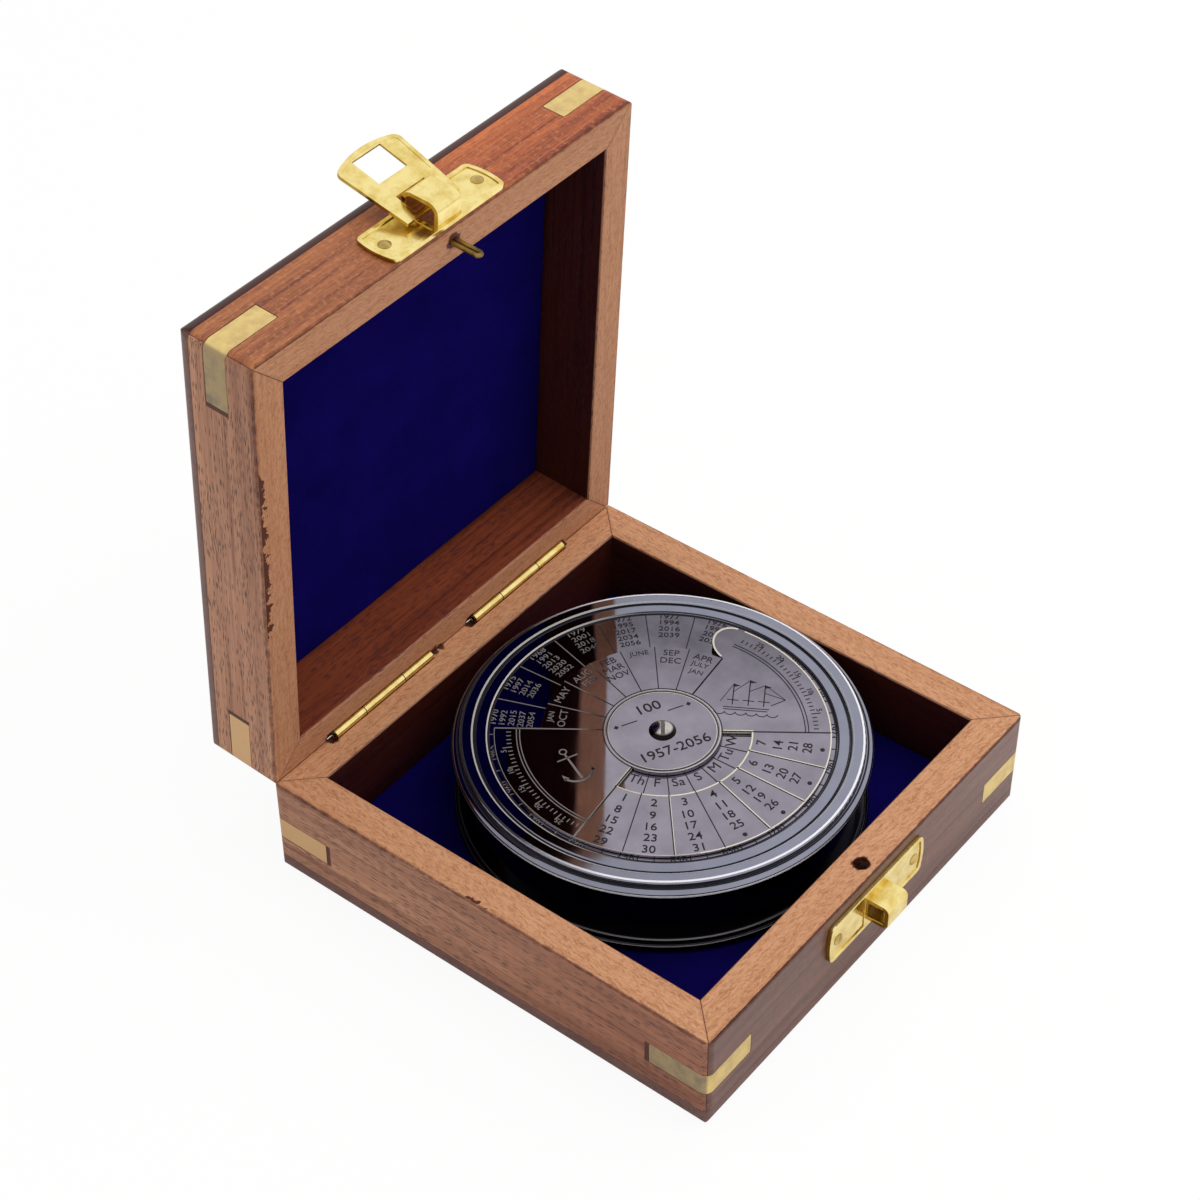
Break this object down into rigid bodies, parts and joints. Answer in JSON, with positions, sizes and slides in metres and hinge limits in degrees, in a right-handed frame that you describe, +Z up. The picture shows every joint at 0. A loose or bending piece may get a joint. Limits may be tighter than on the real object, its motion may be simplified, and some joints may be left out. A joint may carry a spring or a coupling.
{
  "type": "calendar compass in a box",
  "caption": "Round desk compass with a turning perpetual-calendar cover, lying in a hinged, velvet-lined wooden box with brass corner keys, butt hinges and a flap latch.",
  "frame": {"origin": "centre of the box's underside", "axes": "+X along the hinge line to the right seen from the latch, +Y towards the hinges, +Z up"},
  "size_m": [0.1, 0.1215, 0.129],
  "materials": {
    "sheesham": "varnished",
    "inlaid_brass": "satin",
    "brass": "polished",
    "velvet": "napped",
    "gunmetal": "darkened and polished",
    "dial_plate": "darkened and polished",
    "steel": "polished",
    "needle_steel": "blued",
    "card": "printed card",
    "glass": "clear"
  },
  "bodies": {
    "box": {"base_front_wall": "sheesham", "base_back_wall": "sheesham", "base_left_wall": "sheesham", "base_right_wall": "sheesham", "base_panel": "sheesham", "base_corner_keys": "inlaid_brass", "base_lining": "velvet", "base_hinge_leaves": "brass", "hinge_pins": "brass", "keeper_plate": "brass", "keeper_nails": "brass"},
    "lid": {"lid_front_wall": "sheesham", "lid_back_wall": "sheesham", "lid_left_wall": "sheesham", "lid_right_wall": "sheesham", "lid_panel": "sheesham", "lid_corner_keys": "inlaid_brass", "lid_lining": "velvet", "lid_hinge_leaves": "brass", "latch_plate": "brass", "latch_nails": "brass", "locating_pin": "brass"},
    "flap": {"latch_flap": "brass"},
    "compass": {"compass_case": "gunmetal", "needle_pivot": "brass", "compass_card": "card", "glass": "glass", "glass_ring": "brass"},
    "needle": {"compass_needle": "needle_steel", "needle_cap": "brass"},
    "cover": {"calendar_cover": "gunmetal", "year_disc": "dial_plate", "centre_screw": "steel", "screw_washer": "steel", "screw_nut": "steel"},
    "month_disc": {"month_disc": "dial_plate"}
  },
  "joints": [
    {"name": "lid_hinge", "type": "hinge", "parent": "box", "child": "lid", "pos_m": [0, 0.04895, 0.0227], "axis": [-1, 0, 0], "range_deg": [-86.84, 0]},
    {"name": "flap_hinge", "type": "hinge", "parent": "lid", "child": "flap", "pos_m": [0, 0.04838, 0.12367], "axis": [-1, 0, 0], "range_deg": [-166, 0]},
    {"name": "compass_lift", "type": "slide", "parent": "box", "child": "compass", "axis": [0, 0, 1], "range_m": [0, 0.045]},
    {"name": "cover_lift", "type": "slide", "parent": "compass", "child": "cover", "axis": [0, 0, 1], "range_m": [0, 0.025]},
    {"name": "month_disc_turn", "type": "hinge", "parent": "cover", "child": "month_disc", "pos_m": [0.0027, -0.0003, 0.0249], "axis": [0, 0, 1], "continuous": true},
    {"name": "needle_swing", "type": "hinge", "parent": "compass", "child": "needle", "pos_m": [0.0027, -0.0003, 0.0132], "axis": [0, 0, 1], "continuous": true}
  ]
}
